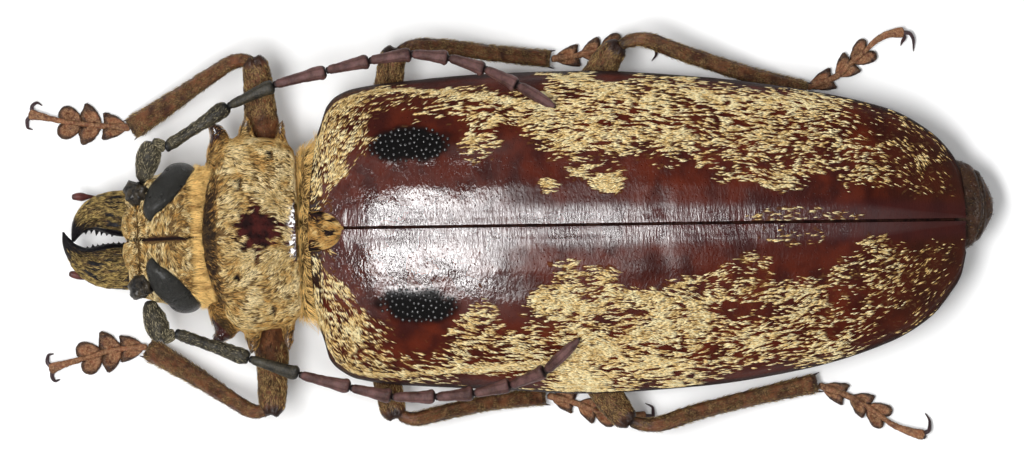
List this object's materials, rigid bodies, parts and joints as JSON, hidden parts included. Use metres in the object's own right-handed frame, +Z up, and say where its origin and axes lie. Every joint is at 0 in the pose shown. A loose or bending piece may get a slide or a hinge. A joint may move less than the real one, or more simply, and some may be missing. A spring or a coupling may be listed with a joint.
{
  "type": "giant longhorn beetle",
  "caption": "Life-size still model of a large toothed longhorn beetle lying on its feet, with jaws, feelers and legs spread and domed wing cases closed.",
  "frame": {"origin": "floor level under the middle of the beetle's outline, feet included", "axes": "+Z up; the head looks along -Y and the tail along +Y; the beetle's right side is at -X and its left at +X"},
  "size_m": [0.0447, 0.1041, 0.02],
  "materials": {
    "wing_case": "glossy red-brown chitin with patches of short golden hair",
    "head_fur": "black-brown chitin under a close golden fur",
    "thorax_fur": "dark brown chitin under a close golden fur",
    "belly": "satin dark brown chitin with thin golden hair",
    "eye": "black, finely facetted, satin",
    "mandible": "black chitin with olive-gold hair, tips bare and glossy",
    "palp": "glossy dark red-brown",
    "antenna_base": "satin olive-black, finely rough",
    "antenna_end": "satin purplish brown, dark at the joints",
    "leg": "red-brown chitin with short golden hair",
    "foot": "orange-brown pads, violet-black claws"
  },
  "bodies": {
    "root": {"elytron_right": "wing_case", "elytron_left": "wing_case", "head": "head_fur", "labrum": "head_fur", "prothorax": "thorax_fur", "pterothorax": "thorax_fur", "scutellum": "thorax_fur", "abdomen": "belly", "abdomen_tip": "belly", "eye_right": "eye", "mandible_right": "mandible", "maxillary_palp_right": "palp", "labial_palp_right": "palp", "antenna_right_01": "antenna_base", "antenna_right_02": "antenna_base", "antenna_right_03": "antenna_base", "antenna_right_04": "antenna_base", "antenna_right_05": "antenna_end", "antenna_right_06": "antenna_end", "antenna_right_07": "antenna_end", "antenna_right_08": "antenna_end", "antenna_right_09": "antenna_end", "antenna_right_10": "antenna_end", "antenna_right_11": "antenna_end", "fore_femur_right": "leg", "fore_tibia_right": "leg", "fore_tarsus_right": "foot", "mid_femur_right": "leg", "mid_tibia_right": "leg", "mid_tarsus_right": "foot", "hind_femur_right": "leg", "hind_tibia_right": "leg", "hind_tarsus_right": "foot", "eye_left": "eye", "mandible_left": "mandible", "maxillary_palp_left": "palp", "labial_palp_left": "palp", "antenna_left_01": "antenna_base", "antenna_left_02": "antenna_base", "antenna_left_03": "antenna_base", "antenna_left_04": "antenna_base", "antenna_left_05": "antenna_end", "antenna_left_06": "antenna_end", "antenna_left_07": "antenna_end", "antenna_left_08": "antenna_end", "antenna_left_09": "antenna_end", "antenna_left_10": "antenna_end", "antenna_left_11": "antenna_end", "fore_femur_left": "leg", "fore_tibia_left": "leg", "fore_tarsus_left": "foot", "mid_femur_left": "leg", "mid_tibia_left": "leg", "mid_tarsus_left": "foot", "hind_femur_left": "leg", "hind_tibia_left": "leg", "hind_tarsus_left": "foot"}
  },
  "joints": []
}
